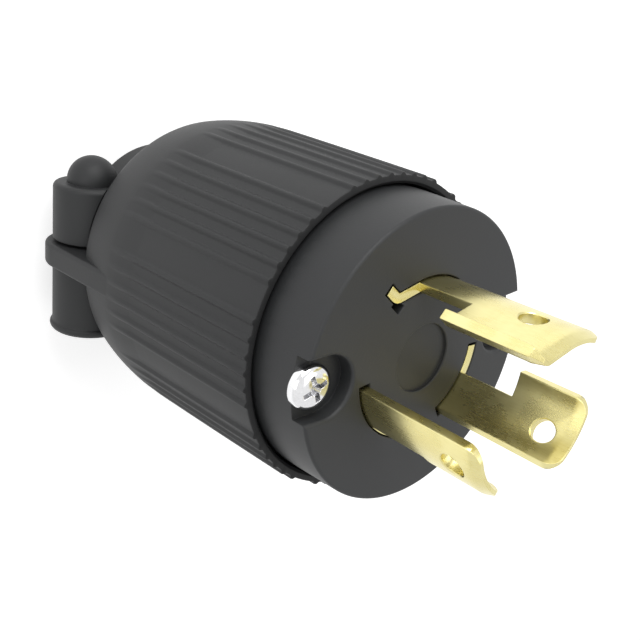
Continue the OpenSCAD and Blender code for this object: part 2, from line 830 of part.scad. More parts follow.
module clamp_screw_left() {
    clamp_screw(-1);
}

module clamp_nut_right() {
    clamp_nut(1);
}

module clamp_nut_left() {
    clamp_nut(-1);
}

front_body();
rear_shell();
clamp_saddle();
line_blade_right();
line_blade_left();
ground_blade();
terminal_block();
terminal_screw_right();
terminal_screw_left();
ground_screw();
clamp_plate_right();
clamp_plate_left();
ground_clamp_plate();
assembly_screw_right();
assembly_screw_left();
assembly_nut_right();
assembly_nut_left();
clamp_screw_right();
clamp_screw_left();
clamp_nut_right();
clamp_nut_left();
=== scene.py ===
# %% [markdown]
# A locking power plug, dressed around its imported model. The plug stands on its cord clamp, with
# its blades up, and every size below is in millimetres until the mesh is made.

# %% Load the frame
import json
import math

import bmesh
import bpy
from mathutils import Matrix, Vector


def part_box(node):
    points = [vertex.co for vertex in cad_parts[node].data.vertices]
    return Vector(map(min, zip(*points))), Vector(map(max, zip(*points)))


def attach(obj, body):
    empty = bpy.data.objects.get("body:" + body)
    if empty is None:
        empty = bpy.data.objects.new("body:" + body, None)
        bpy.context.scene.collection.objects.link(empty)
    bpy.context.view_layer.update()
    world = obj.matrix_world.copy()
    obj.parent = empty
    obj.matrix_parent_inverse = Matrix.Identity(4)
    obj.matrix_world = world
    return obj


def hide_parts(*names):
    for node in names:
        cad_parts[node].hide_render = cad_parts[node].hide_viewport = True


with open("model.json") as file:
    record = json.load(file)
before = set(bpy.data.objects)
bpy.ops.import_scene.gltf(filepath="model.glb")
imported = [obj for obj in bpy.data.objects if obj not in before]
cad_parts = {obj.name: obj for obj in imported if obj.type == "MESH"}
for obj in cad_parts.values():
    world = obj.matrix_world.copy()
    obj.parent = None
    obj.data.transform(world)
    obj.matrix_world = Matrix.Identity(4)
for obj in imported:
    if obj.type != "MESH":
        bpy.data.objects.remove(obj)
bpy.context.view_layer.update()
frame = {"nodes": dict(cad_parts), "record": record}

MM = 0.001


def height_of(node):
    """Highest point of a node, in millimetres."""
    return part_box(node)[1].z / MM


face_z = height_of("front_body")
rim_z = height_of("rear_shell")
print("face at", round(face_z, 2), "and rim at", round(rim_z, 2), "mm")

# %% [markdown]
# The camera looks at the round face from the side and a little above, close enough for a
# clear perspective. Three angles and a distance say this better than a matrix would: a turn
# about the plug's side, a rise over its axis, and a small roll of the camera itself.

# %% Camera
turn, rise, roll = (math.radians(angle) for angle in (-44.46, 20.34, 6.90))
eye_distance, eye_shift_right, eye_shift_up = 89.28, -10.66, 3.97
lens_mm, sensor_mm = 48.27, 36.0

back = Vector((math.cos(rise) * math.sin(turn), math.sin(rise), math.cos(rise) * math.cos(turn)))
level = Vector((math.cos(turn), 0, -math.sin(turn)))
right = math.cos(roll) * level + math.sin(roll) * back.cross(level)
up = back.cross(right)
eye = Vector((0, 0, face_z)) + eye_distance * back + eye_shift_right * right + eye_shift_up * up

lens = bpy.data.cameras.new("camera")
lens.lens, lens.sensor_width = lens_mm, sensor_mm
lens.clip_start, lens.clip_end = 0.005, 20
camera = bpy.data.objects.new("camera", lens)
bpy.context.scene.collection.objects.link(camera)
camera.matrix_world = Matrix.Translation(eye * MM) @ Matrix((right, up, back)).transposed().to_4x4()
bpy.context.scene.camera = camera
bpy.context.scene.view_settings.view_transform = "Standard"
print("camera at", [round(value, 1) for value in eye], "mm")

# %% [markdown]
# Every finish below is a small formula. Rather than wiring nodes by hand, a socket is wrapped
# so that Python's own operators add the Math nodes, and one method makes any other node. The
# formulas then read like ordinary arithmetic, which is easier to tune than a drawing of boxes.

# %% Shader arithmetic


class Wire:
    """A node's output socket, on which + and * add Math nodes."""

    def __init__(self, graph, socket):
        self.graph, self.socket = graph, socket

    def math(self, operation, *values):
        return self.graph.node("ShaderNodeMath", {"operation": operation},
                               {index: value for index, value in enumerate(values)})

    def __add__(self, other):
        return self.math("ADD", self, other)

    def __mul__(self, other):
        return self.math("MULTIPLY", self, other)

    __radd__ = __add__
    __rmul__ = __mul__

    def step(self, low, high):
        """0 below low, 1 above high, and smooth between."""
        return self.graph.node("ShaderNodeMapRange", {"interpolation_type": "SMOOTHSTEP"},
                               {"Value": self, "From Min": low, "From Max": high})


class Graph:
    """The node tree of a material or of the world."""

    def __init__(self, owner):
        owner.use_nodes = True
        self.tree = owner.node_tree
        self.tree.nodes.clear()

    def node(self, kind, settings=None, inputs=None, output=0):
        """Makes a node, sets its settings, then gives its inputs values or links."""
        made = self.tree.nodes.new(kind)
        for name, value in (settings or {}).items():
            setattr(made, name, value)
        for name, value in (inputs or {}).items():
            if isinstance(value, Wire):
                self.tree.links.new(value.socket, made.inputs[name])
            else:
                made.inputs[name].default_value = value
        return Wire(self, made.outputs[output]) if made.outputs else made

    def place(self):
        """Position on the plug, in millimetres."""
        spot = self.node("ShaderNodeTexCoord", output="Object")
        return self.node("ShaderNodeVectorMath", {"operation": "SCALE"}, {0: spot, "Scale": 1 / MM})

    def noise(self, spot, size, detail=2.0):
        """Soft noise from 0 to 1, whose lumps are size millimetres across."""
        return self.node("ShaderNodeTexNoise", None,
                         {"Vector": spot, "Scale": 1 / size, "Detail": detail})

    def tint(self, share, low, high):
        """Colour between low and high."""
        return self.node("ShaderNodeMix", {"data_type": "RGBA"},
                         {"Factor": share, 6: (*low, 1), 7: (*high, 1)}, output=2)

    def bump(self, height, depth, normal):
        """Relief of a height from 0 to 1, depth millimetres deep, on top of a normal."""
        return self.node("ShaderNodeBump", None, {"Height": height, "Distance": depth * MM,
                                                  "Strength": 1.0, "Normal": normal})


def finish(name, recipe):
    """A material whose recipe returns a surface for its graph."""
    material = bpy.data.materials.new(name)
    graph = Graph(material)
    graph.node("ShaderNodeOutputMaterial", None, {"Surface": recipe(graph)})
    return material


def principled(graph, constants, **varying):
    """The Principled shader, with constants and links under their sockets' own names."""
    inputs = dict(constants)
    inputs.update({name.replace("_", " "): wire for name, wire in varying.items()})
    return graph.node("ShaderNodeBsdfPrincipled", None, inputs)


# %% [markdown]
# The plug lies on nothing but white paper, so the stage is a wide pale floor. Camera rays and
# mirror reflections see it as white, while the lamps stay at a plain level: a bright lamp
# would wash the colours out. The floor still darkens a little where the plug shades it.

# %% Floor, world and lamps
floor_half = 2.0
paper_grey, paper_glow = 0.8, 0.62


def seen_directly(graph):
    """1 for camera, mirror and glass rays, 0 for the soft bounces that light the plug."""
    path = "ShaderNodeLightPath"
    seen = graph.node(path, output="Is Camera Ray") + graph.node(path, output="Is Glossy Ray")
    return (seen + graph.node(path, output="Is Transmission Ray")).step(0.0, 1.0)


def paper(graph):
    matt = graph.node("ShaderNodeBsdfDiffuse", None, {"Color": (paper_grey,) * 3 + (1,)})
    glow = graph.node("ShaderNodeEmission", None, {"Strength": seen_directly(graph) * paper_glow})
    return graph.node("ShaderNodeAddShader", None, {0: matt, 1: glow})


floor_mesh = bpy.data.meshes.new("floor")
corners = [(-floor_half, -floor_half, 0), (floor_half, -floor_half, 0),
           (floor_half, floor_half, 0), (-floor_half, floor_half, 0)]
floor_mesh.from_pydata(corners, [], [(0, 1, 2, 3)])
floor = bpy.data.objects.new("floor", floor_mesh)
bpy.context.scene.collection.objects.link(floor)
floor.data.materials.append(finish("paper", paper))

world = bpy.data.worlds.new("studio")
bpy.context.scene.world = world
studio = Graph(world)
fill_level = 0.42
sky = studio.node("ShaderNodeBackground", None,
                  {"Color": (1, 1, 1, 1),
                   "Strength": seen_directly(studio) * (1 - fill_level) + fill_level})
studio.node("ShaderNodeOutputWorld", None, {"Surface": sky})


def soft_lamp(name, away, size, watts):
    """A square lamp at a place, in millimetres from the face, which looks at the plug."""
    light = bpy.data.lights.new(name, "AREA")
    light.size, light.energy = size * MM, watts
    lamp = bpy.data.objects.new(name, light)
    bpy.context.scene.collection.objects.link(lamp)
    lamp.location = (Vector((0, 0, face_z / 2)) + Vector(away)) * MM
    lamp.rotation_mode = "QUATERNION"
    lamp.rotation_quaternion = Vector(away).to_track_quat("Z", "Y")


soft_lamp("key", (-60, 330, 190), 260, 0.9)
soft_lamp("side", (-360, 60, 160), 240, 0.3)
soft_lamp("front", (120, 60, 420), 240, 0.3)

# %% [markdown]
# The black parts are moulded nylon: a very dark cool grey with a satin skin. A mould leaves a
# fine grain and slow changes of gloss, so two sizes of noise drive the roughness and a shallow
# bump. The Bevel node rounds the light on small edges, as every moulded edge is a little soft.

# %% Nylon
edge_softness = 0.12
grain_size, speck_size, cloud_size = 0.22, 0.09, 9.0


def nylon(name, shade, gloss, grain):
    """Moulded nylon: shade is its grey, gloss its roughness, grain the depth of its texture."""
    def recipe(graph):
        spot = graph.place()
        fine = graph.noise(spot, grain_size, 3.0)
        cloud = graph.noise(spot, cloud_size)
        speck = graph.noise(spot, speck_size, 1.0)
        share = (cloud * 0.6 + fine * 0.4).step(0.25, 0.75)
        colour = graph.tint(share, (shade * 0.86, shade * 0.9, shade * 0.96),
                            (shade * 1.1, shade * 1.16, shade * 1.2))
        soft_edge = graph.node("ShaderNodeBevel", {"samples": 4}, {"Radius": edge_softness * MM})
        skin = graph.bump(fine * 0.7 + speck * 0.3, grain, soft_edge)
        return principled(graph, {"Specular IOR Level": 0.42}, Base_Color=colour,
                          Roughness=cloud * 0.08 + fine * 0.1 + gloss, Normal=skin)
    return finish(name, recipe)


shell_black = nylon("shell_black", 0.014, 0.46, 0.010)
# The rim's grey is darker than the shell's as painted shade: it darkens the front ring beside the
# proud front body.
rim_painted_shade = nylon("rim_painted_shade", 0.006, 0.6, 0.010)
face_black = nylon("face_black", 0.020, 0.42, 0.014)
inner_nylon = nylon("inner_nylon", 0.55, 0.45, 0.010)

# %% [markdown]
# The blades are stamped brass with a pale, slightly greenish polish. Rolled sheet keeps faint
# lines along its length and a pebbled skin that breaks up reflections, so the bump joins a
# fine noise and one stretched along the blade. The same recipe makes the darker brass of the
# terminal screws, the bright and the dull plating, and the green of the ground screw.

# %% Metals
line_size, line_stretch, patch_size = 0.16, 0.12, 3.2
metal_edge = 0.08


def metal(name, dull, bright, gloss, pebble, pebble_size, tarnish=0.0):
    """Bare metal: its dull and bright colours, roughness, and the depth of its skin."""
    def recipe(graph):
        spot = graph.place()
        drawn = graph.node("ShaderNodeMapping", None, {"Vector": spot, "Scale": (1, 1, line_stretch)})
        pits = graph.noise(spot, pebble_size)
        lines = graph.noise(drawn, line_size)
        patch = graph.noise(spot, patch_size)
        colour = graph.tint((patch * 0.7 + lines * 0.3).step(0.3, 0.7), dull, bright)
        rough = (patch * tarnish + lines * 0.06) + gloss
        soft_edge = graph.node("ShaderNodeBevel", {"samples": 4}, {"Radius": metal_edge * MM})
        skin = graph.bump(pits * 0.75 + lines * 0.25, pebble, soft_edge)
        return principled(graph, {"Metallic": 1.0}, Base_Color=colour, Roughness=rough,
                          Normal=skin)
    return finish(name, recipe)


blade_brass = metal("blade_brass", (0.70, 0.62, 0.27), (0.80, 0.73, 0.36), 0.20, 0.006, 0.16, 0.1)
screw_brass = metal("screw_brass", (0.62, 0.46, 0.17), (0.78, 0.60, 0.26), 0.24, 0.004, 0.2)
bright_plate = metal("bright_plate", (0.72, 0.72, 0.73), (0.86, 0.86, 0.87), 0.09, 0.002, 0.3)
zinc_plate = metal("zinc_plate", (0.50, 0.50, 0.50), (0.64, 0.64, 0.62), 0.30, 0.004, 0.2, 0.1)
green_plate = metal("green_plate", (0.03, 0.20, 0.08), (0.06, 0.34, 0.14), 0.32, 0.003, 0.2)

# %% [markdown]
# Most moulded forms here are either turned or pushed out of a flat outline. Three helpers make
# those: one sweeps a profile round the plug's axis, one pushes an outline out and rounds its
# edges, and one joins or cuts solids with Blender's Boolean modifier. Closed solids in, closed
# solids out: that keeps the meshes clean enough to print.

# %% Mesh helpers


def solid(name, points, faces):
    """A new object from points in millimetres."""
    mesh = bpy.data.meshes.new(name)
    mesh.from_pydata([Vector(point) * MM for point in points], [], faces)
    made = bpy.data.objects.new(name, mesh)
    bpy.context.scene.collection.objects.link(made)
    work = bmesh.new()
    work.from_mesh(mesh)
    bmesh.ops.recalc_face_normals(work, faces=work.faces)
    work.to_mesh(mesh)
    work.free()
    return made


def arc(centre, radius, start, end, steps):
    """Points on an arc, with its angles in degrees."""
    turns = [math.radians(start + (end - start) * index / steps) for index in range(steps + 1)]
    return [(centre[0] + radius * math.cos(a), centre[1] + radius * math.sin(a)) for a in turns]


def turned(name, profile, steps=128, ring=True):
    """A profile of (radius, z) swept round the axis. A ring's profile closes on itself."""
    points, faces = [], []
    for radius, z in profile:
        for index in range(steps):
            a = math.tau * index / steps
            points.append((radius * math.cos(a), radius * math.sin(a), z))
    rows = len(profile)
    for row in range(rows if ring else rows - 1):
        low, high = row * steps, (row + 1) % rows * steps
        for index in range(steps):
            after = (index + 1) % steps
            faces.append((low + index, low + after, high + after, high + index))
    if not ring:
        faces.append(tuple(range(steps)))
        faces.append(tuple(range((rows - 1) * steps, rows * steps)))
    return solid(name, points, faces)


def inset(outline, distance):
    """An outline moved inwards, or outwards where the distance is below zero."""
    area = sum(x0 * y1 - x1 * y0 for (x0, y0), (x1, y1) in zip(outline, outline[1:] + outline[:1]))
    side = 1 if area > 0 else -1
    corners = []
    for before, here, after in zip(outline[-1:] + outline[:-1], outline, outline[1:] + outline[:1]):
        a = (Vector(here) - Vector(before)).normalized()
        b = (Vector(after) - Vector(here)).normalized()
        mitre = Vector((-a.y - b.y, a.x + b.x)) * side / max(0.3, 1 + a.dot(b))
        corners.append(tuple(Vector(here) + mitre * distance))
    return corners


def stacked(name, outline, rows):
    """A solid of one outline at several heights; each row is (inset, height)."""
    count = len(outline)
    points = [(x, y, z) for shrink, z in rows for x, y in inset(outline, shrink)]
    last = (len(rows) - 1) * count
    faces = [tuple(range(count)), tuple(range(last, last + count))]
    for row in range(len(rows) - 1):
        for index in range(count):
            low, after = row * count + index, row * count + (index + 1) % count
            faces.append((low, after, after + count, low + count))
    return solid(name, points, faces)


def pushed(name, outline, low, high, rounding=0.0, steps=3):
    """An outline in X and Y pushed out from low to high along Z, with rounded rims."""
    if not rounding:
        return stacked(name, outline, [(0, low), (0, high)])
    curve = [(rounding * (1 - math.sin(a)), rounding * (1 - math.cos(a)))
             for a in (math.pi / 2 * step / steps for step in range(steps + 1))]
    rows = [(shrink, low + rise) for shrink, rise in curve]
    return stacked(name, outline, rows + [(shrink, high - rise) for shrink, rise in curve[::-1]])


def moved(thing, matrix):
    """The object with its points moved by a matrix that is given in millimetres."""
    matrix = matrix.copy()
    matrix.translation = matrix.translation * MM
    thing.data.transform(matrix)
    if matrix.determinant() < 0:
        thing.data.flip_normals()
    return thing


def combined(body, operation, tools):
    """Joins, cuts or crosses a solid with others, which are used up."""
    for tool in tools:
        change = body.modifiers.new(tool.name, "BOOLEAN")
        change.operation, change.object, change.solver = operation, tool, "MANIFOLD"
    graph = bpy.context.evaluated_depsgraph_get()
    graph.update()
    result = bpy.data.meshes.new_from_object(body.evaluated_get(graph))
    body.modifiers.clear()
    body.data = result
    for tool in tools:
        bpy.data.objects.remove(tool)
    return body


def dressed(piece, node, material, crease=33, second=None, where=None):
    """Sets a finished piece in place of its plain node; a second finish goes where it says."""
    mesh = piece.data
    mesh.materials.clear()
    mesh.materials.append(material)
    mesh.polygons.foreach_set("material_index", [0] * len(mesh.polygons))
    if second:
        mesh.materials.append(second)
        for polygon in mesh.polygons:
            polygon.material_index = int(where(polygon.center / MM, polygon.normal))
    mesh.polygons.foreach_set("use_smooth", [True] * len(mesh.polygons))
    mesh.set_sharp_from_angle(angle=math.radians(crease))
    weigh = piece.modifiers.new("even_shading", "WEIGHTED_NORMAL")
    weigh.keep_sharp = True
    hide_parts(node)
    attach(piece, "root")
    mesh.calc_loop_triangles()
    print(piece.name, len(mesh.loop_triangles), "triangles")


# %% [markdown]
# The barrel is the plug's largest part. Its flank bows gently from a smooth ring near the rear
# to the rim, and 52 fine ribs stand in eight groups with plain panels between them. The ribs
# reach the same height as the ring, so they are made by sinking the valleys: one sweep round
# the axis whose outer rows move inwards between the ribs. A Boolean of 52 bars would give
# the same form with broken shading.

# %% Barrel profile
ring_z, ring_r = 21.5, 18.69
rim_r, flank_power = 18.05, 1.15
shoulder_r, shoulder_round = 36.0, 4.0
clamp_len = 10.2
wall_t = 3.0
cord_r = 7.0
cavity_r = 15.4
spigot_z = 40.0
socket_r = 16.8
rib_h, rib_end_z, rib_fade = 0.3, 19.5, 5.0
rib_pitch = 5.75
rim_round, rim_lead = 0.18, 0.3
throat_step, cavity_draft, cavity_lead = 1.5, 0.4, 3.0
flank_steps, fade_steps, ring_steps, shoulder_steps = 7, 14, 8, 14
side_ribs, top_ribs = 6, 8
rib_count = 6 * side_ribs + 2 * top_ribs
panel_span = (360 - (rib_count - 8) * rib_pitch) / 8
corner_turn = (side_ribs - 1) * rib_pitch + panel_span


def flank_r(z):
    """Radius over the ribs: the shoulder's wide arc, then the slight taper to the rim."""
    if z < ring_z:
        return ring_r - shoulder_r + math.sqrt(shoulder_r ** 2 - (ring_z - z) ** 2)
    return ring_r - (ring_r - rim_r) * ((z - ring_z) / (rim_z - ring_z)) ** flank_power


def rib_columns():
    """(angle, sink) round the barrel: sink is 0 on a rib's crest and 1 in a valley."""
    flank = [(0.22, 0.0), (0.48, 0.07), (0.8, 0.34), (1.15, 0.72), (1.45, 0.95), (1.7, 1.0)]
    crest = [(-turn, sink) for turn, sink in reversed(flank)] + flank
    middles = [0, corner_turn, 90, 180 - corner_turn, 180, 180 + corner_turn, 270,
               360 - corner_turn]
    counts = [side_ribs, side_ribs, top_ribs, side_ribs] * 2
    columns = []
    for middle, count in zip(middles, counts):
        for index in range(count):
            rib = middle + (index - (count - 1) / 2) * rib_pitch
            columns += [(rib + offset, sink) for offset, sink in crest]
            if index < count - 1:
                columns.append((rib + rib_pitch / 2, 1.0))
        edge = middle + (count - 1) / 2 * rib_pitch
        columns += [(edge + panel_span * share / 10, 1.0) for share in range(2, 9)]
    return columns


def barrel_outside():
    """(radius, z, depth) down the outside; depth scales the valleys."""
    rows = [(flank_r(rim_z) - rim_round, rim_z, 1.0),
            (flank_r(rim_z) - rim_round * 0.3, rim_z - rim_round * 0.3, 1.0)]
    fade_z = rib_end_z + rib_fade
    for step in range(flank_steps):
        z = rim_z - rim_round - (rim_z - rim_round - fade_z) * step / flank_steps
        rows.append((flank_r(z), z, 1.0))
    for step in range(fade_steps + 1):
        z = fade_z - rib_fade * step / fade_steps
        rows.append((flank_r(z), z, 1 - step / fade_steps))
    inner_r = shoulder_r - shoulder_round
    drop = math.asin((ring_z - clamp_len - shoulder_round) / inner_r)
    for step in range(1, ring_steps):
        z = rib_end_z - (rib_end_z - ring_z + shoulder_r * math.sin(drop)) * step / ring_steps
        rows.append((flank_r(z), z, 0.0))
    corner = (ring_r - shoulder_r + inner_r * math.cos(drop), clamp_len + shoulder_round)
    shoulder = arc(corner, shoulder_round, -math.degrees(drop), -90, shoulder_steps)
    return rows + [(r, z, 0.0) for r, z in shoulder]


def barrel_inside():
    """(radius, z, depth) up the inside, from the cord's passage to the rim."""
    inside = [(cord_r, clamp_len), (cord_r, clamp_len + wall_t),
              (cord_r + throat_step, clamp_len + wall_t),
              (cavity_r - cavity_draft, ring_z - cavity_lead),
              (cavity_r, ring_z), (cavity_r, spigot_z), (socket_r, spigot_z),
              (socket_r, rim_z - rim_lead), (socket_r + rim_lead, rim_z)]
    return [(r, z, 0.0) for r, z in inside]


def ribbed_barrel():
    """The barrel as a grid of points: its rows run down and up, its columns round the axis."""
    columns, rows = rib_columns(), barrel_outside() + barrel_inside()
    count = len(columns)
    points, faces = [], []
    for radius, z, depth in rows:
        for angle, sink in columns:
            a, r = math.radians(angle), radius - rib_h * sink * depth
            points.append((r * math.cos(a), r * math.sin(a), z))
    for row in range(len(rows)):
        low, high = row * count, (row + 1) % len(rows) * count
        for index in range(count):
            after = (index + 1) % count
            faces.append((low + index, low + after, high + after, high + index))
    return solid("barrel", points, faces)


barrel = ribbed_barrel()
print("barrel of", rib_count, "ribs")

# %% [markdown]
# Two flat ears leave the ring and end round at the clamp screws. Under each ear a boss takes
# the screw's head; above it sits the loose saddle with its own boss. All of these are lathe
# and plate forms with rounded rims, joined to the barrel in one Boolean pass.

# %% Ears, bosses and the lower half of the clamp
clamp_x, clamp_axis_z = 13.6, 6.7
boss_r, ear_r, ear_t = 4.75, 5.65, 3.0
lower_h, upper_h = 8.85, 7.5
back_r, back_h = 11.1, 12.4
ear_edge, clamp_edge, ear_root_z = 0.5, 0.4, 14.5
bead_out, bead_r = 0.3, 0.8
ridge_places, ridge_t, ridge_h, ridge_edge = (2.8, 6.7), 1.0, 1.0, 0.15
past = 1.0  # how far a cutter runs past a surface
along_y = Matrix(((1, 0, 0, 0), (0, 0, 1, 0), (0, 1, 0, 0), (0, 0, 0, 1)))


def mirrored(side):
    """A flip to the left where side is -1."""
    return Matrix.Diagonal((side, 1, 1, 1))


def ear(side):
    """An ear's outline in X and Z, pushed out through its thickness."""
    away = Vector((ring_r - clamp_x, rib_end_z - clamp_axis_z))
    touch = math.degrees(math.atan2(away.y, away.x) - math.acos(ear_r / away.length))
    outline = arc((clamp_x, clamp_axis_z), ear_r, -200, touch, 40)
    outline += [(ring_r - 0.05, rib_end_z), (ring_r - 0.6, rib_end_z + rib_fade),
                (cavity_r + 1.0, rib_end_z + rib_fade), (cavity_r + 0.5, ear_root_z)]
    plate = pushed("ear", outline, -ear_t / 2, ear_t / 2, ear_edge, 4)
    return moved(plate, mirrored(side) @ along_y)


def screw_lathe(name, side, profile, steps=64):
    """A profile of (radius, y) turned about a clamp screw's axis."""
    made = turned(name, profile, steps, ring=False)
    return moved(made, Matrix.Translation((side * clamp_x, 0, clamp_axis_z)) @ along_y)


def lower_boss(side):
    """The boss under an ear, which swells into a round bead at its foot."""
    foot = -ear_t / 2 - lower_h
    profile = [(boss_r, 0), (boss_r, foot + 1.5), (boss_r + 0.06, foot + 1.2),
               (boss_r + 0.26, foot + 1.0)]
    profile += arc((boss_r + bead_out - bead_r, foot + bead_r), bead_r, 0, -90, 6)
    return screw_lathe("lower_boss", side, profile)


def clamp_half(low_y, high_z, side):
    """One half of the clamp between a plane and its curved back; side is 1 above, -1 below."""
    middle_y = back_h - back_r
    corner = math.degrees(math.asin((low_y - middle_y) / back_r))
    outline = arc((0, middle_y), back_r, corner, 180 - corner, 60)
    block = pushed("clamp_half", outline, 0, high_z, clamp_edge)
    return moved(block, Matrix.Diagonal((1, side, 1, 1)))


def ridges(side):
    """The two biting ridges inside one half of the clamp; side is 1 above, -1 below."""
    made = []
    for z in ridge_places:
        ring = arc((0, 0), cord_r + past, 0, 180, 32) + arc((0, 0), cord_r - ridge_h, 180, 0, 32)
        ridge = pushed("ridge", ring, z, z + ridge_t, ridge_edge)
        made.append(moved(ridge, Matrix.Diagonal((1, side, 1, 1))))
    return made


def rod(name, radius, low, high, steps=64):
    """A plain cylinder along Z."""
    return turned(name, [(radius, low), (radius, high)], steps, ring=False)


def hexagon(name, across, low, high, spin=0.0):
    """A hexagonal bar along Z, by its width across flats."""
    outline = arc((0, 0), across / math.sqrt(3), spin, spin + 300, 5)
    return pushed(name, outline, low, high)


def turned_to(angle):
    """A turn about the plug's axis, in degrees."""
    return Matrix.Rotation(math.radians(angle), 4, "Z")


def at_screw(angle, z=0.0):
    """The place of an assembly screw, with X pointing outwards."""
    return turned_to(angle) @ Matrix.Translation((assembly_r, 0, z))


sides = (-1, 1)
screw_turns = {"right": 6.5, "left": 182.0}
assembly_r, nut_boss_r, nut_top_z, nut_af, nut_h = 14.5, 3.4, 38.0, 5.0, 2.0
assembly_d, clamp_screw_d, clamp_head_d, screw_room = 2.5, 3.0, 5.6, 0.2
screw_hole_z, boss_skin, saddle_gap = 33.0, 0.8, 0.25
head_foot_y = -ear_t / 2 - lower_h
clamp_head_y = head_foot_y + 2.4


def shell_core(grow):
    """A solid of the shell's outer surface, moved outwards by grow."""
    profile = [(r + grow, z - (grow if z < clamp_len + 1 else 0))
               for r, z, depth in barrel_outside()]
    return turned("shell_core", profile, 128, ring=False)


lower = combined(clamp_half(-ear_t / 2, clamp_len + 0.5, -1), "DIFFERENCE",
                 [rod("passage", cord_r, -past, clamp_len + 2 * past)])
bosses = [rod("nut_boss", nut_boss_r, clamp_len + 1, nut_top_z) for turn in screw_turns]
bosses = [combined(moved(boss, at_screw(turn)), "INTERSECT", [shell_core(-boss_skin)])
          for boss, turn in zip(bosses, screw_turns.values())]
shell = combined(barrel, "UNION", [ear(side) for side in sides] + bosses
                 + [lower_boss(side) for side in sides] + [lower] + ridges(-1))
holes = []
shaft_room_r, head_room_r = clamp_screw_d / 2 + screw_room, clamp_head_d / 2 + screw_room
for side in sides:
    for name, radius, top in (("clamp_hole", shaft_room_r, ear_t),
                              ("clamp_sink", head_room_r, clamp_head_y)):
        holes.append(screw_lathe(name, side, [(radius, head_foot_y - past), (radius, top)]))
for turn in screw_turns.values():
    pocket = hexagon("nut_pocket", nut_af + 2 * screw_room, nut_top_z - nut_h, nut_top_z + past)
    holes.append(moved(pocket, at_screw(turn)))
    hole = rod("screw_hole", assembly_d / 2 + screw_room, screw_hole_z, nut_top_z + past)
    holes.append(moved(hole, at_screw(turn)))
shell = combined(shell, "DIFFERENCE", holes)
shell.name = "ribbed_shell"


def in_painted_rim_shade(spot, facing):
    """True on the narrow front ring of the rim, which faces forwards and takes the painted shade."""
    return spot.z > rim_z - 0.35 and facing.z > 0.6


# The front ring of the rim gets the darker grey, a painted shade beside the front body.
dressed(shell, "rear_shell", shell_black, second=rim_painted_shade, where=in_painted_rim_shade)

# %% [markdown]
# The saddle is the loose upper half of the cord clamp. Two round bosses end in shiny domes that
# hide the nuts, and a curved back joins them over the cord. The real one is moulded in one
# piece, so its solids are joined before the passage and the nut pockets are cut.

# %% Saddle
seat_y = ear_t / 2 + 0.3
top_y = ear_t / 2 + upper_h
dome_r, dome_rise, dome_flat = 3.1, 0.3, 0.03
boss_edge, boss_chamfer = 0.65, 0.15
clamp_nut_h, clamp_tip_y, clamp_hole_top = 2.4, 6.2, 7.2


def upper_boss(side):
    """The boss over an ear, with a rounded top edge and a shiny dome."""
    profile = [(boss_r - boss_chamfer, seat_y), (boss_r, seat_y + boss_chamfer)]
    profile += arc((boss_r - boss_edge, top_y - boss_edge), boss_edge, 0, 90, 6)
    foot = -math.degrees(math.asin(dome_rise / dome_r))
    profile += arc((0, top_y + dome_rise - dome_flat), dome_r, foot, 88, 18)
    return screw_lathe("upper_boss", side, profile)


saddle = combined(clamp_half(seat_y, clamp_len - saddle_gap, 1), "UNION",
                  [combined(upper_boss(side), "DIFFERENCE", [shell_core(saddle_gap)])
                   for side in sides])
saddle = combined(saddle, "DIFFERENCE", [rod("passage", cord_r, -past, clamp_len + past)])
saddle = combined(saddle, "UNION", ridges(1))
pockets = []
for side in sides:
    pockets.append(screw_lathe("clamp_hole", side, [(shaft_room_r, 0),
                                                    (shaft_room_r, clamp_hole_top)]))
    nut_seat = hexagon("nut_seat", nut_af + 2 * screw_room, 0, seat_y + clamp_nut_h, 30)
    on_screw = Matrix.Translation((side * clamp_x, 0, clamp_axis_z)) @ along_y
    pockets.append(moved(nut_seat, on_screw))
saddle = combined(saddle, "DIFFERENCE", pockets)
saddle.name = "clamp_bridge"
dressed(saddle, "clamp_saddle", shell_black)

# %% [markdown]
# The front body carries the blades. It is turned first, then the slots, the two U-shaped screw
# notches and the shallow round recess are cut with flared cutters, so every mouth in the face
# gets the small soft edge that a mould gives it.

# %% Blade paths
blade_r, blade_t = 8.95, 1.13
blade_mid_r = blade_r - blade_t / 2
hook_run, hook_lip, hook_turn, hook_bend = 3.1, 1.7, 55.0, 0.9
right_start, left_start, ground_start = -59, -169, 66


def heading(turn):
    """A direction in the face, from an angle in degrees."""
    return Vector((math.cos(math.radians(turn)), math.sin(math.radians(turn))))


def bent(start, bends):
    """A path round the plug from an angle; bends are (length, turn to the left).

    The path gives the place and the outward direction at a distance along it.
    """
    def at(run):
        point, facing = heading(start) * blade_mid_r, start + 90
        for index, (length, turn) in enumerate(bends):
            step = run if index == len(bends) - 1 or run < length else length
            if turn:
                radius = length / math.radians(turn)
                centre = point + radius * heading(facing + 90)
                facing += turn * step / length
                point = centre - radius * heading(facing + 90)
            else:
                point = point + step * heading(facing)
            run -= step
            if run <= 0:
                break
        return point, heading(facing - 90)
    return at


def arc_length(span):
    """The width of flat sheet that a span of the blade circle takes up."""
    return math.radians(span) * blade_mid_r


line_span, head_short, ground_span = 58.0, 2.0, 39.5
line_width = arc_length(line_span)
mitre = hook_bend * math.tan(math.radians(hook_turn / 2))
hook_bends = [(arc_length(ground_span), ground_span), (hook_run - mitre, 0),
              (hook_bend * math.radians(hook_turn), -hook_turn), (hook_lip - mitre, 0)]
ground_width = sum(length for length, turn in hook_bends)
right_path = bent(right_start, [(line_width, line_span)])
left_path = bent(left_start, [(line_width, line_span)])
ground_path = bent(ground_start, hook_bends)


def strip(path, width, room, end_room):
    """The outline of a bent strip of metal, seen along the axis, with room round it."""
    runs = [-end_room + (width + 2 * end_room) * index / 60 for index in range(61)]
    half = blade_t / 2 + room
    outer = [path(run)[0] + path(run)[1] * half for run in runs]
    inner = [path(run)[0] - path(run)[1] * half for run in reversed(runs)]
    return [tuple(point) for point in outer + inner]


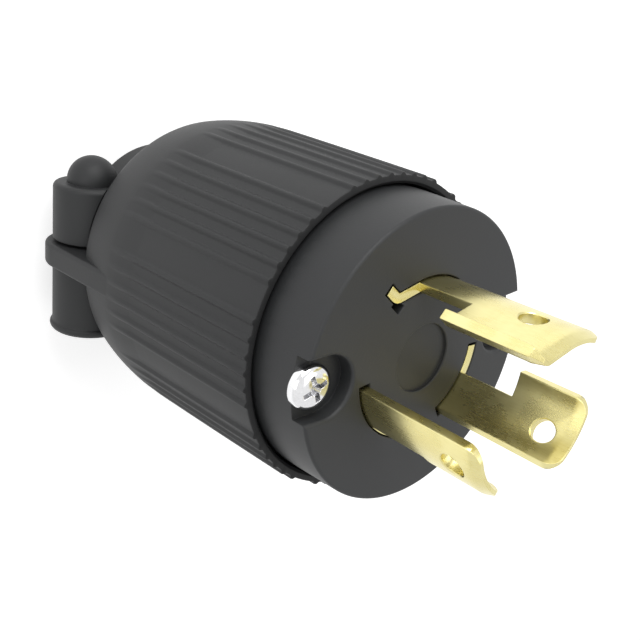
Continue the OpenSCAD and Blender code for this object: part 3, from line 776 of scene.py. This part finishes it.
# %% Front body
skirt_r, face_r, skirt_t, web_z = 16.5, 16.25, 1.65, 45.0
face_edge, recess_r, recess_depth = 0.35, 3.8, 0.35
notch_r, notch_inset, notch_depth = 3.35, 1.05, 1.8
slot_room, slot_end_room = 0.13, 0.27
column_r, notch_reach, notch_mouth = 2.65, 4.5, 0.4
relief_back, relief_front, relief_w, relief_mouth = 1.3, 0.25, 1.05, 0.08


def mouthed(name, outline, floor_z, mouth=0.14):
    """A cutter that flares softly where it leaves the face."""
    rows = [(0, floor_z), (0, face_z - mouth)]
    rows += [(-mouth * (1 - math.cos(a)), face_z - mouth * (1 - math.sin(a)))
             for a in (math.radians(turn) for turn in (22, 45, 68, 90))]
    return stacked(name, outline, rows + [(-mouth - 0.01, face_z + 1)])


profile = [(skirt_r - skirt_t, web_z), (skirt_r - skirt_t, spigot_z), (skirt_r, spigot_z),
           (skirt_r, rim_z)]
profile += arc((face_r - face_edge, face_z - face_edge), face_edge, 2, 90, 6)
body = turned("face_body", profile, 256, ring=False)
columns = []
for turn in screw_turns.values():
    column = moved(rod("screw_column", column_r, spigot_z, web_z + 0.5), at_screw(turn))
    limit = rod("limit", skirt_r - skirt_t / 2, spigot_z - 1, face_z)
    columns.append(combined(column, "INTERSECT", [limit]))
body = combined(body, "UNION", columns)
cutters = [mouthed("slot", strip(path, width, slot_room, slot_end_room), web_z - 2)
           for path, width in ((right_path, line_width), (left_path, line_width),
                               (ground_path, ground_width))]
cutters.append(mouthed("recess", arc((0, 0), recess_r, 0, 354, 59), face_z - recess_depth))
lip_turn = ground_start + ground_span - hook_turn + 90
bend_spot = blade_mid_r * heading(ground_start + ground_span)
bend_spot += hook_run * heading(ground_start + ground_span + 90)
relief_outline = [(-relief_back, 0), (relief_front, 0), (relief_front, relief_w),
                  (-relief_back, relief_w)]
relief = mouthed("relief", relief_outline, web_z - 2, relief_mouth)
relief_place = Matrix.Translation((*bend_spot, 0)) @ turned_to(lip_turn)
body = combined(body, "DIFFERENCE", [moved(relief, relief_place)])
for turn in screw_turns.values():
    hole = rod("screw_hole", assembly_d / 2 + screw_room, spigot_z - 1, face_z - 1)
    outline = [(notch_reach, -notch_r), (notch_reach, notch_r)]
    outline += arc((-notch_inset, 0), notch_r, 90, 270, 36)
    notch = mouthed("screw_notch", outline, face_z - notch_depth, notch_mouth)
    cutters += [moved(hole, at_screw(turn)), moved(notch, at_screw(turn))]
body = combined(body, "DIFFERENCE", cutters)
body.name = "slotted_face"
dressed(body, "front_body", face_black)

# %% [markdown]
# Each blade is stamped flat from brass sheet and then rolled round the plug's axis. The mesh is
# made the same way: a flat blank with a locking notch, a hole and rounded corners is pushed
# out to the sheet's thickness, sliced into narrow strips, and bent along the blade's path.
# The bend also thins the outside of the tip, which helps the plug to find its socket.

# %% Blades
notch_len, ground_notch_len, lip_chamfer = 6.9, 6.5, 0.9
corner_r, edge_r, hole_r = 1.7, 0.12, 1.325
tip_bevel, inner_bevel = 0.45, 0.28
bevel_len, slice_w = 3 * tip_bevel, 0.25
tail_w, tail_in_r, tail_end_z, terminal_z = 8.0, 9.625, 27.0, 32.0
terminal_hole_r, ledge_lap = 1.95, 0.4
face_bite = 0.02  # how far a locking notch starts below the face
block_top_z = web_z - blade_t


def blank(width, tip_z, notch_from, notch_high, hole_at, hole_z, hooked):
    """A flat blade in X and Y, with its notch from a place along its width to the end."""
    if hooked:
        head = width
        far = [(head, tip_z - lip_chamfer), (head - lip_chamfer, tip_z)]
    else:
        head = width - arc_length(head_short)
        far = arc((head - corner_r, tip_z - corner_r), corner_r, 0, 90, 8)
    outline = [(0, block_top_z), (width, block_top_z), (width, face_z - face_bite),
               (notch_from, face_z - face_bite), (notch_from, face_z + notch_high),
               (head, face_z + notch_high)]
    outline += far + arc((corner_r, tip_z - corner_r), corner_r, 90, 180, 8)
    made = pushed("blank", outline, -blade_t / 2, blade_t / 2, edge_r, 2)
    hole = arc((hole_at, hole_z), hole_r, 0, 352.5, 47)
    rows = [(-edge_r, -blade_t), (-edge_r, -blade_t / 2), (0, -blade_t / 2 + edge_r),
            (0, blade_t / 2 - edge_r), (-edge_r, blade_t / 2), (-edge_r, blade_t)]
    return combined(made, "DIFFERENCE", [stacked("hole", hole, rows)])


def rolled(flat, path, width, tip_z):
    """Slices a flat blank and bends it along its path."""
    work = bmesh.new()
    work.from_mesh(flat.data)
    slices = int(width / slice_w)
    cuts = [((width * index / slices, 0), (1, 0)) for index in range(1, slices)]
    cuts += [((0, tip_z - bevel_len * share), (0, 1)) for share in (1, 0.66, 0.33)]
    for (x, y), (nx, ny) in cuts:
        bmesh.ops.bisect_plane(work, geom=work.verts[:] + work.edges[:] + work.faces[:],
                               plane_co=Vector((x, y, 0)) * MM, plane_no=(nx, ny, 0), dist=1e-9)
    for vert in work.verts:
        run, z, out = vert.co / MM
        bevel = max(0.0, z - (tip_z - bevel_len)) * tip_bevel / bevel_len
        spot, normal = path(run)
        inner = blade_t / 2 - bevel * inner_bevel / tip_bevel
        spot = spot + normal * max(-inner, min(out, blade_t / 2 - bevel))
        vert.co = Vector((spot.x, spot.y, z)) * MM
    work.to_mesh(flat.data)
    work.free()
    return flat


def box(name, low, high):
    """A plain block between two corners."""
    outline = [(low[0], low[1]), (high[0], low[1]), (high[0], high[1]), (low[0], high[1])]
    return pushed(name, outline, low[2], high[2], edge_r, 2)


along_x = Matrix(((0, 0, 1, 0), (0, 1, 0, 0), (-1, 0, 0, 0), (0, 0, 0, 1)))


def tail(angle):
    """The terminal end of a blade: a step outwards behind the web, then a flat strip."""
    half = tail_w / 2
    ledge = box("ledge", (blade_r - blade_t + ledge_lap, -half, block_top_z),
                (tail_in_r + blade_t, half, web_z))
    flat = box("strip", (tail_in_r, -half, tail_end_z), (tail_in_r + blade_t, half, web_z))
    hole = rod("hole", terminal_hole_r, tail_in_r - 1, tail_in_r + 3, 48)
    hole = moved(hole, Matrix.Translation((0, 0, terminal_z)) @ along_x)
    made = combined(combined(ledge, "UNION", [flat]), "DIFFERENCE", [hole])
    return moved(made, turned_to(angle))


def blade(name, node, path, width, length, notch_from, hole_at, setback, terminal):
    """A finished blade: notch_from and hole_at are angles along it, terminal is its tail's."""
    tip_z = face_z + length
    hooked = node == "ground_blade"
    notch_high = ground_notch_len if hooked else notch_len
    flat = blank(width, tip_z, arc_length(notch_from), notch_high, arc_length(hole_at),
                 tip_z - setback, hooked)
    made = combined(rolled(flat, path, width, tip_z), "UNION", [tail(terminal)])
    made.name = name
    dressed(made, node, blade_brass, 40)


right_len, left_len, ground_len = 15.1, 14.5, 17.2
right_terminal, left_terminal, ground_terminal = -38, -140, 90
notch_span, line_hole_turn, ground_hole_turn = 22.5, 4.5, 94
line_hole_setback, ground_hole_setback = 3.3, 5.0
line_notch = line_span - notch_span
line_hole = line_notch / 2 + line_hole_turn
blade("right_line_blade", "line_blade_right", right_path, line_width, right_len, line_notch,
      line_hole, line_hole_setback, right_terminal)
blade("left_line_blade", "line_blade_left", left_path, line_width, left_len, line_notch,
      line_hole, line_hole_setback, left_terminal)
blade("hooked_ground_blade", "ground_blade", ground_path, ground_width, ground_len, ground_span,
      ground_hole_turn - ground_start, ground_hole_setback, ground_terminal)

# %% [markdown]
# The screws are turned parts: a pan head with a soft rim over a plain shank. The cross recess
# is two crossed wedges and a small cone, cut into the head, because its dark tapering arms are
# what makes a screw read as a screw.

# %% Screws
assembly_head_r, assembly_head_h, clamp_head_h, cross_turn = 2.4, 1.4, 2.0, 20


def pan_screw(name, node, material, head_r, head_h, shank_r, length, frame_of_head, spin):
    """A screw whose head sits on its own XY plane, pointing up."""
    crown = [(shank_r - 0.2, -length), (shank_r, -length + 0.25), (shank_r, 0), (head_r, 0),
             (head_r, head_h * 0.35)]
    for share in range(1, 9):
        a = math.pi / 2 * share / 8
        crown.append((head_r * math.cos(a * 0.96) ** 0.62, head_h * (0.35 + 0.65 * math.sin(a))))
    made = turned("screw", crown, 64, ring=False)
    arm, slim = head_r * 0.62, head_r * 0.115
    wings = []
    for turn in (0, 90):
        outline = [(-arm, -slim), (arm, -slim), (arm, slim), (-arm, slim)]
        rows = [(slim * 0.45, head_h - 0.95), (slim * 0.2, head_h - 0.6), (-0.02, head_h + 0.1)]
        wings.append(moved(stacked("wing", outline, rows), turned_to(turn + spin)))
    cone = turned("cone", [(head_r * 0.12, head_h - 1.1), (head_r * 0.3, head_h + 0.1)], 24,
                  ring=False)
    made = combined(made, "DIFFERENCE", wings + [cone])
    moved(made, frame_of_head)
    made.name = name
    dressed(made, node, material, 40)


assembly_len = face_z - notch_depth - nut_top_z + nut_h + 2
for side, word in zip(sides, ("left", "right")):
    seat = at_screw(screw_turns[word], face_z - notch_depth)
    pan_screw(word + "_face_screw", "assembly_screw_" + word, bright_plate,
              assembly_head_r, assembly_head_h, assembly_d / 2, assembly_len, seat, cross_turn)
    under = Matrix.Translation((side * clamp_x, clamp_head_y, clamp_axis_z)) @ along_y
    under = under @ Matrix.Diagonal((1, 1, -1, 1))
    pan_screw(word + "_clamp_screw", "clamp_screw_" + word, zinc_plate,
              clamp_head_d / 2, clamp_head_h, clamp_screw_d / 2, clamp_tip_y - clamp_head_y,
              under, 0)

# %% [markdown]
# The terminal block, its screws, plates and nuts are machined or moulded so plainly that the
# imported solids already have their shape. They keep it, and only take the right finish.

# %% Inner pieces
slot_finish = {"brass": screw_brass, "inner_nylon": inner_nylon, "screw_brass": screw_brass,
               "green_screw": green_plate, "bright_screw": bright_plate,
               "plain_steel": zinc_plate}
for part in frame["record"]["subparts"]:
    mesh = frame["nodes"][part["node"]].data
    mesh.materials.clear()
    mesh.materials.append(slot_finish.get(part["material_slot"], shell_black))
